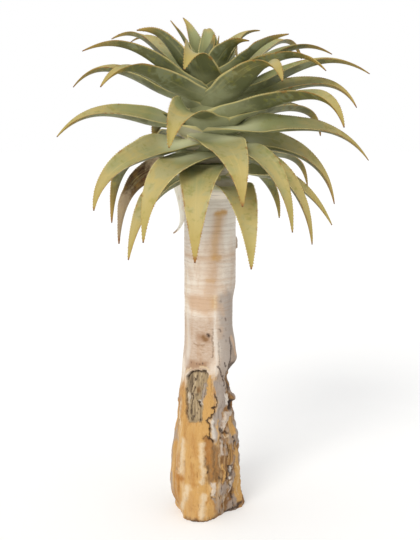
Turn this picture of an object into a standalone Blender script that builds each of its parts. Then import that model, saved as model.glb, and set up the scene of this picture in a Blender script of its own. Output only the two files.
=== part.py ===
"""A young tree aloe: one thick pale trunk that carries a single rosette of long channelled leaves.

Metres, +Z up. The origin is the middle of the flat cut at ground level, and -Y is the side that the photograph shows.
"""

import math
from collections import namedtuple

import bmesh
import bpy
from mathutils import Quaternion, Vector
from mathutils.bvhtree import BVHTree

# Trunk: radius at rising heights, then the sway of its middle line
PROFILE = (
    (0.00, 0.141),
    (0.12, 0.140),
    (0.23, 0.133),
    (0.31, 0.123),
    (0.38, 0.109),
    (0.45, 0.106),
    (0.53, 0.099),
    (0.61, 0.101),
    (0.70, 0.0975),
    (1.20, 0.0975),
)
SWAY = 0.006
SWAY_FOOT = 0.15
LEAN = 0.010
LEAN_LOW = 0.45
LEAN_HIGH = 0.68
TRUNK_SIDES = 24
TRUNK_RINGS = 30
LOW_RINGS = 19
LOW_TOP = 0.68

# Growing head inside the rosette, where the leaves are fixed
HEAD_LOW = 1.20
HEAD_TOP = 1.725
HEAD_FULLNESS = 2.6
HEAD_BLUNT = 0.002
LEAST_STEM = 0.020

# Rosette
SPIRAL_START = -48.0
SPIRAL_TURN = 137.508
FIRST_LEAF = 1.265
LAST_LEAF = 1.714
LAST_SLOT = 58
SLOT_POWER = 0.66
LEAF_SIDES = 8
LEAF_STEPS = 8
GAP = 0.0003
INSET = 0.004
MOST_SWELL = 3.0
FLAT = 0.5

# Leaf
BLADE_WIDTH = 0.172
SHEATH_WIDTH = 0.250
SHEATH_SHARE = 0.18
SHEATH_BODY = 0.4
HEEL = 0.040
HEEL_SHARE = 0.12
HEEL_SLIM = 0.062
HEEL_BROAD = 0.085
HEEL_FADE = 0.5
CLASP_SHARE = 0.30
MOST_WRAP = 1.5
TWIST_SHARE = 0.25
TAPER_POWER = 1.15
TIP_WIDTH = 0.005
RIM = 0.003
RIM_TAPER = 0.4
THICKNESS = 0.013
THINNING = 0.6
KEEL = 0.8
KEEL_CORNERS = 1.7
CHANNEL = 0.50
SAG = 0.45
HANDLE = 0.42

# A round bar of eight sides has its slanting corners here, and rings half a side from its middle are ends
CORNER = math.sqrt(0.5)
HALF = 0.5
SMOOTH_ANGLE = 50

Bump = namedtuple("Bump", "around height wide tall depth")
BUMPS = (
    Bump(-4, 0.545, 0.060, 0.030, -0.028),
    Bump(-2, 0.610, 0.045, 0.022, 0.006),
    Bump(-5, 0.450, 0.050, 0.022, 0.004),
    Bump(-2, 0.300, 0.060, 0.050, 0.005),
    Bump(-45, 0.000, 0.090, 0.130, -0.052),
    Bump(15, 0.000, 0.050, 0.080, 0.012),
    Bump(-108, 0.000, 0.060, 0.090, 0.020),
    Bump(-160, 0.000, 0.100, 0.050, -0.016),
)

# Oldest leaf first. Slot is the leaf's place along the spiral, and front slots 26, 28, 31, 39, 47 and 52 are bare.
# Bearing is where the tip points, in degrees of plan angle from +X, reach is the tip's distance from the stem's
# axis and tip is its height. Rise is the leaf's slope at the stem and droop its slope at the tip. Shift moves the
# base round the stem, hook turns the tip sideways, twist rolls the blade, full lengthens the arch and fold deepens
# or flattens the channel.
Leaf = namedtuple(
    "Leaf",
    "slot bearing reach tip rise droop width shift hook twist full fold",
    defaults=(1.0, 0.0, 0.0, 0.0, 1.0, 1.0),
)
LEAVES = (
    Leaf(0, -70, 0.410, 1.018, 28, -88, 1.00, shift=-16, fold=0.6),
    Leaf(1, 92, 0.400, 1.040, 9, -85, 0.92),
    Leaf(2, -134, 0.410, 1.036, 2, -78, 0.90),
    Leaf(3, -2, 0.459, 1.125, 3, -62, 0.80, twist=20),
    Leaf(4, 160, 0.380, 1.033, -5, -88, 0.80, full=1.35, fold=1.8, twist=28),
    Leaf(5, -98, 0.370, 1.037, 8, -88, 1.12, shift=-18, full=1.2, fold=0.35),
    Leaf(6, 45, 0.398, 1.118, 5, -86, 0.80),
    Leaf(7, 195, 0.142, 1.097, -42, -30, 0.34, full=0.9, twist=70, hook=0),
    Leaf(8, -22, 0.400, 1.070, 7, -86, 0.85, twist=10),
    Leaf(9, 105, 0.420, 1.130, 4, -80, 0.92),
    Leaf(10, -122, 0.430, 1.106, -10, -84, 1.20, full=1.3, fold=0.45),
    Leaf(11, 32, 0.460, 1.251, -10, -80, 0.85, twist=14),
    Leaf(12, 172, 0.380, 1.125, 4, -88, 1.00, full=1.3, twist=24),
    Leaf(13, -50, 0.440, 1.138, 2, -84, 1.05, fold=0.6, full=1.15),
    Leaf(14, 78, 0.460, 1.140, 9, -80, 0.92),
    Leaf(15, -148, 0.480, 1.204, -11, -82, 1.05, twist=-22, full=0.92),
    Leaf(16, 3, 0.472, 1.200, -5, -80, 0.95, twist=26),
    Leaf(17, 122, 0.450, 1.220, 8, -80, 0.92),
    Leaf(18, -75, 0.420, 1.233, -14, -86, 1.22, shift=12, fold=0.35, full=1.08),
    Leaf(19, 55, 0.460, 1.280, 11, -80, 0.92),
    Leaf(20, -176, 0.565, 1.454, 13, -50, 1.00, twist=-18),
    Leaf(21, -4, 0.587, 1.368, -2, -56, 1.00, fold=0.8, twist=26),
    Leaf(22, 97, 0.520, 1.280, 18, -72, 0.95),
    Leaf(23, -110, 0.400, 1.427, 34, -80, 1.10, shift=20, hook=-25, twist=-25, full=1.1),
    Leaf(24, 20, 0.456, 1.452, 22, -82, 1.00, twist=10),
    Leaf(25, 138, 0.300, 1.430, 5, -76, 0.90),
    Leaf(27, 62, 0.500, 1.400, 19, -76, 0.90),
    Leaf(29, -33, 0.545, 1.493, 12, -74, 1.2),
    Leaf(30, 102, 0.540, 1.500, 25, -56, 0.95),
    Leaf(32, 8, 0.560, 1.560, 12, -62, 0.95, twist=10),
    Leaf(33, 172, 0.520, 1.636, 27, -52, 0.95, twist=-8),
    Leaf(34, -57, 0.440, 1.646, 33, -66, 1.12),
    Leaf(35, 84, 0.550, 1.570, 29, -50, 0.95),
    Leaf(36, -137, 0.500, 1.628, 23, -50, 1.08),
    Leaf(37, 3, 0.593, 1.684, 19, -34, 0.95, twist=8),
    Leaf(38, 150, 0.352, 1.808, 37, -32, 0.80),
    Leaf(40, 45, 0.523, 1.754, 34, -60, 0.85),
    Leaf(41, -175, 0.465, 1.762, 42, -26, 0.90),
    Leaf(42, -28, 0.455, 1.686, 32, -46, 0.90),
    Leaf(43, 100, 0.480, 1.710, 40, -38, 0.88),
    Leaf(44, -107, 0.300, 1.687, 54, -66, 1.05, shift=10, hook=-25, twist=-30, full=1.35),
    Leaf(45, 15, 0.479, 1.760, 26, -28, 0.85),
    Leaf(46, 155, 0.416, 1.820, 33, -24, 0.80),
    Leaf(48, 74, 0.400, 1.765, 43, -28, 0.82),
    Leaf(49, 175, 0.270, 1.840, 34, -8, 0.75),
    Leaf(50, 15, 0.304, 1.831, 37, 10, 0.72),
    Leaf(51, 125, 0.177, 1.896, 61, 36, 0.66),
    Leaf(53, 40, 0.247, 1.850, 60, 0, 0.66),
    Leaf(54, 150, 0.169, 1.880, 65, 45, 0.45),
    Leaf(55, -35, 0.170, 1.795, 66, -12, 0.74),
    Leaf(56, 95, 0.150, 1.855, 72, 0, 0.56),
    Leaf(57, 75, 0.053, 1.826, 77, 75, 0.34),
    Leaf(58, 60, 0.065, 1.823, 86, 72, 0.28),
)
DRY_SLOTS = (4, 7)


def smoothstep(low, high, value):
    share = min(1.0, max(0.0, (value - low) / (high - low)))
    return share * share * (3 - 2 * share)


def axis(height):
    """The trunk's middle line: it bows a little, then leans."""
    lean = smoothstep(LEAN_LOW, LEAN_HIGH, height)
    return Vector((LEAN * lean - SWAY * (1 - lean) * smoothstep(0, SWAY_FOOT, height), 0.0, height))


def trunk_radius(height):
    """The trunk's girth, drawn in above the lowest leaves to a rounded tip inside the rosette."""
    radius = PROFILE[-1][1]
    for (low, below), (high, above) in zip(PROFILE, PROFILE[1:]):
        if low <= height < high:
            radius = below + (above - below) * smoothstep(low, high, height)
    if height <= HEAD_LOW:
        return radius
    share = min(1.0, (height - HEAD_LOW) / (HEAD_TOP - HEAD_LOW))
    return radius * math.sqrt(max(0.0, 1 - share**HEAD_FULLNESS))


def bump_height(angle, height):
    total = 0.0
    for bump in BUMPS:
        turn = (angle - math.radians(bump.around) + math.pi) % (2 * math.pi) - math.pi
        aside = turn * trunk_radius(bump.height) / bump.wide
        total += bump.depth * math.exp(-(aside**2) - ((height - bump.height) / bump.tall) ** 2)
    return total


def plan(angle):
    return Vector((math.cos(math.radians(angle)), math.sin(math.radians(angle)), 0.0))


def slope(angle, rise):
    """The direction that heads towards a plan angle and climbs at a slope."""
    return plan(angle) * math.cos(math.radians(rise)) + Vector((0, 0, math.sin(math.radians(rise))))


def leaf_around(leaf):
    """Where the leaf leaves the stem: each slot is a golden angle on from the last."""
    return SPIRAL_START + SPIRAL_TURN * leaf.slot + leaf.shift


def leaf_height(leaf):
    return FIRST_LEAF + (LAST_LEAF - FIRST_LEAF) * (leaf.slot / LAST_SLOT) ** SLOT_POWER


def leaf_curve(leaf):
    """The four control points of the Bezier curve along the middle of the leaf's upper face."""
    height = leaf_height(leaf)
    around = leaf_around(leaf)
    stem = axis(height)
    start = stem + plan(around) * max(0.0, trunk_radius(height) - INSET)
    tip = Vector((stem.x, stem.y, 0)) + plan(leaf.bearing) * leaf.reach + Vector((0, 0, leaf.tip))
    handle = (tip - start).length * HANDLE * leaf.full
    return (
        start,
        start + slope(around, leaf.rise) * handle,
        tip - slope(leaf.bearing + leaf.hook, leaf.droop) * handle,
        tip,
    )


def bezier(points, s):
    a, b, c, d = points
    r = 1 - s
    return a * r**3 + b * (3 * r * r * s) + c * (3 * r * s * s) + d * s**3


def bezier_slope(points, s):
    a, b, c, d = points
    r = 1 - s
    return ((b - a) * r * r + (c - b) * (2 * r * s) + (d - c) * s * s).normalized()


def leaf_stations(leaf, steps):
    """Share, point, sideways and upwards directions at each station, turned as little as possible between them."""
    points = leaf_curve(leaf)
    side = Vector((0, 0, 1)).cross(plan(leaf_around(leaf)))
    before = bezier_slope(points, 0)
    stations = []
    for step in range(steps + 1):
        s = step / steps
        tangent = bezier_slope(points, s)
        side = before.rotation_difference(tangent) @ side
        side = (side - tangent * side.dot(tangent)).normalized()
        turned = Quaternion(tangent, math.radians(leaf.twist) * smoothstep(0, TWIST_SHARE, s)) @ side
        stations.append((s, bezier(points, s), turned, tangent.cross(turned)))
        before = tangent
    return stations


def half_width(leaf, s):
    blade = BLADE_WIDTH * (1 - s**TAPER_POWER)
    sheath = (SHEATH_WIDTH - BLADE_WIDTH) * (1 - smoothstep(0, SHEATH_SHARE, s))
    return (TIP_WIDTH + (blade + sheath) * leaf.width) / 2


def leaf_point(leaf, station, across, under):
    """A point of the leaf's skin: across runs from one margin to the other, under is the lower face."""
    s, middle, side, up = station
    radius = max(LEAST_STEM, trunk_radius(leaf_height(leaf)))
    half = half_width(leaf, s)
    clasp = 1 - smoothstep(0, CLASP_SHARE, s)
    reach = half * abs(across)
    angle = min(MOST_WRAP, half / radius) * abs(across)
    aside = radius * math.sin(angle) * clasp + reach * (1 - clasp)
    back = radius * (1 - math.cos(angle)) * clasp
    lift = CHANNEL * leaf.fold * (1 - clasp) * half * (across * across - SAG)
    body = SHEATH_BODY + (1 - SHEATH_BODY) * smoothstep(0, SHEATH_SHARE, s)
    middle_depth = (THICKNESS - RIM) * leaf.width * body * (1 - s) ** THINNING
    heel = smoothstep(HEEL_SLIM, HEEL_BROAD, radius) * (1 - smoothstep(0, HEEL_SHARE, s))
    depth = (RIM * (1 - RIM_TAPER * s) + middle_depth * (1 - across * across) ** KEEL) * (1 - heel)
    drop = Vector((0, 0, HEEL * leaf.width * heel * (1 - HEEL_FADE * across * across)))
    outwards = plan(leaf_around(leaf))
    upper = middle + side * math.copysign(aside, across) + up * lift - outwards * back
    return upper - up * depth - drop if under else upper


def leaf_mesh(name, leaf, swell=0.0):
    """A tube of eight sides, drawn out along the leaf's curve: three corners make its channel, five its keel."""
    bm = bmesh.new()
    bmesh.ops.create_cone(bm, cap_ends=True, segments=LEAF_SIDES, radius1=1, radius2=1, depth=1)
    along = [e for e in bm.edges if abs(e.verts[0].co.z - e.verts[1].co.z) > HALF]
    bmesh.ops.subdivide_edges(bm, edges=along, cuts=LEAF_STEPS - 1, use_grid_fill=True)
    split_ends(bm)
    stations = leaf_stations(leaf, LEAF_STEPS)
    for vert in bm.verts:
        x, y, z = vert.co
        station = stations[round((z + HALF) * LEAF_STEPS)]
        if y > HALF:
            across = round(x / CORNER)
        else:
            across = math.copysign(abs(x) ** KEEL_CORNERS, x)
        vert.co = leaf_point(leaf, station, across, y <= HALF)
    bmesh.ops.triangulate(bm, faces=bm.faces, quad_method="FIXED")
    swell_out(bm, swell)
    mesh = bpy.data.meshes.new(name)
    bm.to_mesh(mesh)
    bm.free()
    return mesh


def swell_out(bm, swell):
    """Moves the skin outwards, evenly, to make room round a shape."""
    if not swell:
        return
    bm.normal_update()
    moves = [vert.normal * swell * min(MOST_SWELL, vert.calc_shell_factor()) for vert in bm.verts]
    for vert, move in zip(bm.verts, moves):
        vert.co += move


def split_ends(bm):
    """Fans each end face from the middle of the channel, so that it can bend with the blade."""
    for face in [f for f in bm.faces if len(f.verts) > 4]:
        top = max(face.verts, key=lambda v: v.co.y)
        for low in [v for v in face.verts if v.co.y < -HALF]:
            bmesh.ops.connect_verts(bm, verts=[top, low])


def ring_height(ring, rings):
    """Rings lie close together low on the trunk, where it flares, and further apart above."""
    if ring <= LOW_RINGS:
        return LOW_TOP * ring / LOW_RINGS
    return LOW_TOP + (HEAD_TOP - HEAD_BLUNT - LOW_TOP) * (ring - LOW_RINGS) / (rings - LOW_RINGS)


def trunk_mesh(name, sides, rings, swell=0.0):
    """A round bar of flat sides, drawn out to the trunk's girth; swell makes room round it for the leaves."""
    bm = bmesh.new()
    bmesh.ops.create_cone(bm, cap_ends=True, segments=sides, radius1=1, radius2=1, depth=1)
    along = [e for e in bm.edges if abs(e.verts[0].co.z - e.verts[1].co.z) > HALF]
    bmesh.ops.subdivide_edges(bm, edges=along, cuts=rings - 1, use_grid_fill=True)
    for vert in bm.verts:
        height = ring_height(round((vert.co.z + HALF) * rings), rings)
        angle = math.atan2(vert.co.y, vert.co.x)
        radius = trunk_radius(height) + bump_height(angle, height) + swell
        if swell:
            radius /= math.cos(math.pi / sides)
        vert.co = axis(height) + Vector((math.cos(angle), math.sin(angle), 0)) * radius
    mesh = bpy.data.meshes.new(name)
    bm.to_mesh(mesh)
    bm.free()
    return mesh


def material(name, colour, roughness):
    made = bpy.data.materials.new(name)
    made.use_nodes = True
    shader = made.node_tree.nodes["Principled BSDF"]
    shader.inputs["Base Color"].default_value = (*colour, 1)
    shader.inputs["Roughness"].default_value = roughness
    return made


def tree(mesh):
    return BVHTree.FromPolygons([v.co for v in mesh.vertices], [f.vertices for f in mesh.polygons])


def trim(mesh, cutters):
    """The mesh with every cutter taken away by a Boolean."""
    scene = bpy.context.scene.collection
    piece = bpy.data.objects.new("piece", mesh)
    scene.objects.link(piece)
    tools = []
    for cutter in cutters:
        tool = bpy.data.objects.new("cutter", cutter)
        scene.objects.link(tool)
        tools.append(tool)
        cut = piece.modifiers.new("cut", "BOOLEAN")
        cut.operation = "DIFFERENCE"
        cut.solver = "EXACT"
        cut.object = tool
    shape = piece.evaluated_get(bpy.context.evaluated_depsgraph_get())
    trimmed = bpy.data.meshes.new_from_object(shape)
    for used in tools + [piece]:
        bpy.data.objects.remove(used)
    return trimmed


def largest_body(bm):
    """Drops the scraps that a cut leaves loose."""
    left = set(bm.verts)
    bodies = []
    while left:
        body = set()
        edge = [left.pop()]
        while edge:
            vert = edge.pop()
            body.add(vert)
            for link in vert.link_edges:
                other = link.other_vert(vert)
                if other in left:
                    left.remove(other)
                    edge.append(other)
        bodies.append(body)
    bodies.sort(key=lambda body: -sum(f.calc_area() for f in {f for v in body for f in v.link_faces}))
    bmesh.ops.delete(bm, geom=[v for body in bodies[1:] for v in body], context="VERTS")


def finish(mesh):
    """Keeps the largest body, and joins its flat scraps of face where it stays closed."""
    for angle in (FLAT, 0):
        bm = bmesh.new()
        bm.from_mesh(mesh)
        largest_body(bm)
        if angle:
            bmesh.ops.dissolve_limit(bm, angle_limit=math.radians(angle), verts=bm.verts, edges=bm.edges)
        bmesh.ops.triangulate(bm, faces=bm.faces)
        if all(e.is_manifold for e in bm.edges) and all(v.is_manifold for v in bm.verts):
            break
    bm.to_mesh(mesh)
    bm.free()
    return mesh


def add(name, mesh, look, collection):
    mesh.materials.clear()
    mesh.materials.append(look)
    mesh.shade_smooth()
    mesh.set_sharp_from_angle(angle=math.radians(SMOOTH_ANGLE))
    collection.objects.link(bpy.data.objects.new(name, mesh))


def main():
    for old in list(bpy.data.objects):
        bpy.data.objects.remove(old)
    plant = bpy.data.collections.new("tree aloe")
    bpy.context.scene.collection.children.link(plant)
    bark = material("bark", (0.75, 0.68, 0.6), 0.8)
    green = material("leaf", (0.38, 0.4, 0.24), 0.5)
    straw = material("dry_leaf", (0.62, 0.52, 0.38), 0.85)
    add("trunk", trunk_mesh("trunk", TRUNK_SIDES, TRUNK_RINGS), bark, plant)
    stem = trunk_mesh("stem room", TRUNK_SIDES // 2, TRUNK_RINGS, GAP)
    rooms = [leaf_mesh("leaf room", leaf, GAP) for leaf in LEAVES]
    room_trees = [tree(room) for room in rooms]
    for index, leaf in enumerate(LEAVES):
        name = f"leaf_{leaf.slot:02d}"
        blade = leaf_mesh(name, leaf)
        own = tree(blade)
        younger = range(index + 1, len(LEAVES))
        cutters = [stem] + [rooms[other] for other in younger if own.overlap(room_trees[other])]
        add(name, finish(trim(blade, cutters)), straw if leaf.slot in DRY_SLOTS else green, plant)


main()
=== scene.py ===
"""The looks of a young tree aloe: its toothed leaves, its ringed and cracked trunk, and a plain studio.

The leaves grow by the same rule as the solids that they replace. Lengths are in metres and angles in
degrees, but for the tables of wear, which are in millimetres and per cent.
"""

import math
from collections import namedtuple

import bmesh
import bpy
import numpy as np
from bpy.props import FloatProperty, FloatVectorProperty, PointerProperty
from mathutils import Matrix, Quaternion, Vector
from mathutils.bvhtree import BVHTree


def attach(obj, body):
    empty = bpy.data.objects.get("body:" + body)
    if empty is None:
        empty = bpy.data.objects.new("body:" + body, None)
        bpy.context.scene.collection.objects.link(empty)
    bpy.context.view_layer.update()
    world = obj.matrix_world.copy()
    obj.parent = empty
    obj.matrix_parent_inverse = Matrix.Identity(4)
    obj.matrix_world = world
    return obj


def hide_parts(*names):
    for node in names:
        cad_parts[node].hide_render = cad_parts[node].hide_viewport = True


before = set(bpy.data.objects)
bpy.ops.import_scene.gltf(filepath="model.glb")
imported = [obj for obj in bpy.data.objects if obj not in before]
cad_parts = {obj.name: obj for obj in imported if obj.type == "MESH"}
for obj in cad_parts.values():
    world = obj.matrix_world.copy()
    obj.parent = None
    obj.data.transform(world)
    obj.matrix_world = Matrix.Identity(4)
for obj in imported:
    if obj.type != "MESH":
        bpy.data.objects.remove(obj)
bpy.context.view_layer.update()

bl_info = {
    "name": "Tree aloe looks",
    "version": (1, 0, 0),
    "blender": (4, 5, 0),
    "location": "View3D > Sidebar > Tree aloe",
    "description": "Dresses the solids of a young tree aloe with leaves, bark and a studio",
    "category": "Object",
}

BODY = "root"
PER_METRE = 1000
PER_CENT = 100

# Trunk: radius at rising heights, then the sway of its middle line
PROFILE = (
    (0.00, 0.141),
    (0.12, 0.140),
    (0.23, 0.133),
    (0.31, 0.123),
    (0.38, 0.109),
    (0.45, 0.106),
    (0.53, 0.099),
    (0.61, 0.101),
    (0.70, 0.0975),
    (1.20, 0.0975),
)
SWAY = 0.006
SWAY_FOOT = 0.15
LEAN = 0.010
LEAN_LOW = 0.45
LEAN_HIGH = 0.68
HEAD_LOW = 1.20
HEAD_TOP = 1.725
HEAD_FULLNESS = 2.6
HEAD_BLUNT = 0.002
LEAST_STEM = 0.020

Bump = namedtuple("Bump", "around height wide tall depth")
BUMPS = (
    Bump(-4, 0.545, 0.060, 0.030, -0.028),
    Bump(-2, 0.610, 0.045, 0.022, 0.006),
    Bump(-5, 0.450, 0.050, 0.022, 0.004),
    Bump(-2, 0.300, 0.060, 0.050, 0.005),
    Bump(-45, 0.000, 0.090, 0.130, -0.052),
    Bump(15, 0.000, 0.050, 0.080, 0.012),
    Bump(-108, 0.000, 0.060, 0.090, 0.020),
    Bump(-160, 0.000, 0.100, 0.050, -0.016),
)

# Rosette and leaf, as in the solids
SPIRAL_START = -48.0
SPIRAL_TURN = 137.508
FIRST_LEAF = 1.265
LAST_LEAF = 1.714
LAST_SLOT = 58
SLOT_POWER = 0.66
INSET = 0.004
BLADE_WIDTH = 0.172
SHEATH_WIDTH = 0.250
SHEATH_SHARE = 0.18
SHEATH_BODY = 0.4
HEEL = 0.040
HEEL_SHARE = 0.12
HEEL_SLIM = 0.062
HEEL_BROAD = 0.085
HEEL_FADE = 0.5
CLASP_SHARE = 0.30
MOST_WRAP = 1.5
TWIST_SHARE = 0.25
TAPER_POWER = 1.15
TIP_WIDTH = 0.005
RIM = 0.003
RIM_TAPER = 0.4
THICKNESS = 0.013
THINNING = 0.6
KEEL = 0.8
CHANNEL = 0.50
SAG = 0.45
HANDLE = 0.42

Leaf = namedtuple(
    "Leaf",
    "slot bearing reach tip rise droop width shift hook twist full fold",
    defaults=(1.0, 0.0, 0.0, 0.0, 1.0, 1.0),
)
LEAVES = (
    Leaf(0, -70, 0.410, 1.018, 28, -88, 1.00, shift=-16, fold=0.6),
    Leaf(1, 92, 0.400, 1.040, 9, -85, 0.92),
    Leaf(2, -134, 0.410, 1.036, 2, -78, 0.90),
    Leaf(3, -2, 0.459, 1.125, 3, -62, 0.80, twist=20),
    Leaf(4, 160, 0.380, 1.033, -5, -88, 0.80, full=1.35, fold=1.8, twist=28),
    Leaf(5, -98, 0.370, 1.037, 8, -88, 1.12, shift=-18, full=1.2, fold=0.35),
    Leaf(6, 45, 0.398, 1.118, 5, -86, 0.80),
    Leaf(7, 195, 0.142, 1.097, -42, -30, 0.34, full=0.9, twist=70, hook=0),
    Leaf(8, -22, 0.400, 1.070, 7, -86, 0.85, twist=10),
    Leaf(9, 105, 0.420, 1.130, 4, -80, 0.92),
    Leaf(10, -122, 0.430, 1.106, -10, -84, 1.20, full=1.3, fold=0.45),
    Leaf(11, 32, 0.460, 1.251, -10, -80, 0.85, twist=14),
    Leaf(12, 172, 0.380, 1.125, 4, -88, 1.00, full=1.3, twist=24),
    Leaf(13, -50, 0.440, 1.138, 2, -84, 1.05, fold=0.6, full=1.15),
    Leaf(14, 78, 0.460, 1.140, 9, -80, 0.92),
    Leaf(15, -148, 0.480, 1.204, -11, -82, 1.05, twist=-22, full=0.92),
    Leaf(16, 3, 0.472, 1.200, -5, -80, 0.95, twist=26),
    Leaf(17, 122, 0.450, 1.220, 8, -80, 0.92),
    Leaf(18, -75, 0.420, 1.233, -14, -86, 1.22, shift=12, fold=0.35, full=1.08),
    Leaf(19, 55, 0.460, 1.280, 11, -80, 0.92),
    Leaf(20, -176, 0.565, 1.454, 13, -50, 1.00, twist=-18),
    Leaf(21, -4, 0.587, 1.368, -2, -56, 1.00, fold=0.8, twist=26),
    Leaf(22, 97, 0.520, 1.280, 18, -72, 0.95),
    Leaf(23, -110, 0.400, 1.427, 34, -80, 1.10, shift=20, hook=-25, twist=-25, full=1.1),
    Leaf(24, 20, 0.456, 1.452, 22, -82, 1.00, twist=10),
    Leaf(25, 138, 0.300, 1.430, 5, -76, 0.90),
    Leaf(27, 62, 0.500, 1.400, 19, -76, 0.90),
    Leaf(29, -33, 0.545, 1.493, 12, -74, 1.2),
    Leaf(30, 102, 0.540, 1.500, 25, -56, 0.95),
    Leaf(32, 8, 0.560, 1.560, 12, -62, 0.95, twist=10),
    Leaf(33, 172, 0.520, 1.636, 27, -52, 0.95, twist=-8),
    Leaf(34, -57, 0.440, 1.646, 33, -66, 1.12),
    Leaf(35, 84, 0.550, 1.570, 29, -50, 0.95),
    Leaf(36, -137, 0.500, 1.628, 23, -50, 1.08),
    Leaf(37, 3, 0.593, 1.684, 19, -34, 0.95, twist=8),
    Leaf(38, 150, 0.352, 1.808, 37, -32, 0.80),
    Leaf(40, 45, 0.523, 1.754, 34, -60, 0.85),
    Leaf(41, -175, 0.465, 1.762, 42, -26, 0.90),
    Leaf(42, -28, 0.455, 1.686, 32, -46, 0.90),
    Leaf(43, 100, 0.480, 1.710, 40, -38, 0.88),
    Leaf(44, -107, 0.300, 1.687, 54, -66, 1.05, shift=10, hook=-25, twist=-30, full=1.35),
    Leaf(45, 15, 0.479, 1.760, 26, -28, 0.85),
    Leaf(46, 155, 0.416, 1.820, 33, -24, 0.80),
    Leaf(48, 74, 0.400, 1.765, 43, -28, 0.82),
    Leaf(49, 175, 0.270, 1.840, 34, -8, 0.75),
    Leaf(50, 15, 0.304, 1.831, 37, 10, 0.72),
    Leaf(51, 125, 0.177, 1.896, 61, 36, 0.66),
    Leaf(53, 40, 0.247, 1.850, 60, 0, 0.66),
    Leaf(54, 150, 0.169, 1.880, 65, 45, 0.45),
    Leaf(55, -35, 0.170, 1.795, 66, -12, 0.74),
    Leaf(56, 95, 0.150, 1.855, 72, 0, 0.56),
    Leaf(57, 75, 0.053, 1.826, 77, 75, 0.34),
    Leaf(58, 60, 0.065, 1.823, 86, 72, 0.28),
)
DRIED_SLOT = 4
BLEACHED_SLOT = 7

# Fine leaf meshes
GIRTH = 20
ACROSS = (0, 0.25, 0.50, 0.75, 0.97, 1, 0.97, 0.75, 0.50, 0.25, 0)
DEPTH_SHARE = (0, 0, 0, 0, 0, 0.5, 1, 1, 1, 1, 1)
CURVE_PIECES = 40
STEPS_PER_TOOTH = 3
LEAST_TEETH = 8
TEETH_SPREAD = (0.6, 1.15)
TEETH_FROM = 0.10
TEETH_FULL = 0.22
TEETH_END = 0.97
TOOTH_HOOK = 0.7
WAVES = 9
CURL = 2.0
SMOOTH_ANGLE = 40
TONE_SEED = 100
WARM_BY_AGE = 0.70
WARM_BY_CHANCE = 0.30
# Glow of the bleached leaf: painted light that lifts it out of the crown's shade
BLEACHED_PAINTED_GLOW = 0.2
LEAST_RISE = 0.01
LEAST_SHARE = 0.001
HALF = 0.5

# Plain stem that the leaves are cut to
ROOM_SIDES = 64
ROOM_RINGS = 60
ROOM_BELOW = 0.15

# Trunk meshes: the cracked foot and the ringed stem meet at a scar. Spacing sets shares of the rings
# against shares of the height
JOIN = 0.655
Stretch = namedtuple("Stretch", "name low high sides rings spacing")
STRETCHES = (
    Stretch("cracked_foot", 0.0, JOIN, 320, 280, ((0, 1), (0, 1))),
    Stretch("ringed_stem", JOIN, HEAD_TOP - HEAD_BLUNT, 150, 430, ((0, 0.72, 1), (0, 0.58, 1))),
)
RELIEF_FADE = 0.25
TIP_FADE = 0.1
NOISE_LINES = 64
STRAY = 0.0025
STRAY_FADE = (0.50, 0.62)
FINE_STRAY = 0.0012

# Leaf scars, each with a lip below it
SCAR_SEED = 59
SCARS_LOW = 0.58
SCARS_FULL = 0.86
SCAR_WRAP = 2.0
SCAR_FULL = 0.85
SCAR_DROOP = -0.005
SCAR_REACH = 0.016
SCAR_WIDE = 0.0020
SCAR_DEPTHS = (0.35, 1.0)
SCAR_WAVE = 0.0022
SCAR_TREMBLE = 0.0008
LIP_BELOW = 0.005
LIP_WIDE = 0.0035
LEAST_LIP = 0.15
LIP_RISE = 0.6
LIP_WARMTH = 0.5

# Zones of the bark, each from where it starts to where it is in full: heights, then degrees from the front
FOOT_TOP = (0.50, 0.60)
# Heights over which the stem's top turns chalk pale: painted light that makes up for the crown's shadow
PAINTED_LIGHT_TOP = (1.00, 1.15)
FRONT_RIGHT = (14, 36)
BACK_RIGHT = (110, 150)
FRONT_LEFT = (-60, -80)
BACK_LEFT = (-110, -150)
BRINK_LEFT = (-35, -60)
BRINK_WAVE = 0.03
BRINK_DIP = 0.04
EDGE_WAVE = 12
WARM_MIDDLE = -8
WARM_WIDE = 34

# Wear and painted shade on the trunk: each kind has a mask of its own, and so have the rings. Places are
# degrees to the right of the trunk's front, which faces -Y, and millimetres above the ground
PAINTS = ("tan", "clay", "ochre", "brown", "amber", "grey", "wood", "pale", "dark", "chalk")
PAINT_TINTS = {"grey": "lilac", "dark": "umber"}
RELIEFS = ("ring", "lip")
WOUND = (
    (-53, 550), (-46, 565), (-39, 574), (-30, 582), (-21, 586), (-5, 582), (0, 569), (1, 516), (0, 493),
    (-7, 467), (-8, 447), (-6, 391), (-8, 381), (-27, 377), (-41, 382), (-45, 404), (-47, 433), (-46, 453),
    (-52, 482),
)
WOUND_SOFT = 3
WOUND_DEPTH = 0.0090
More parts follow.
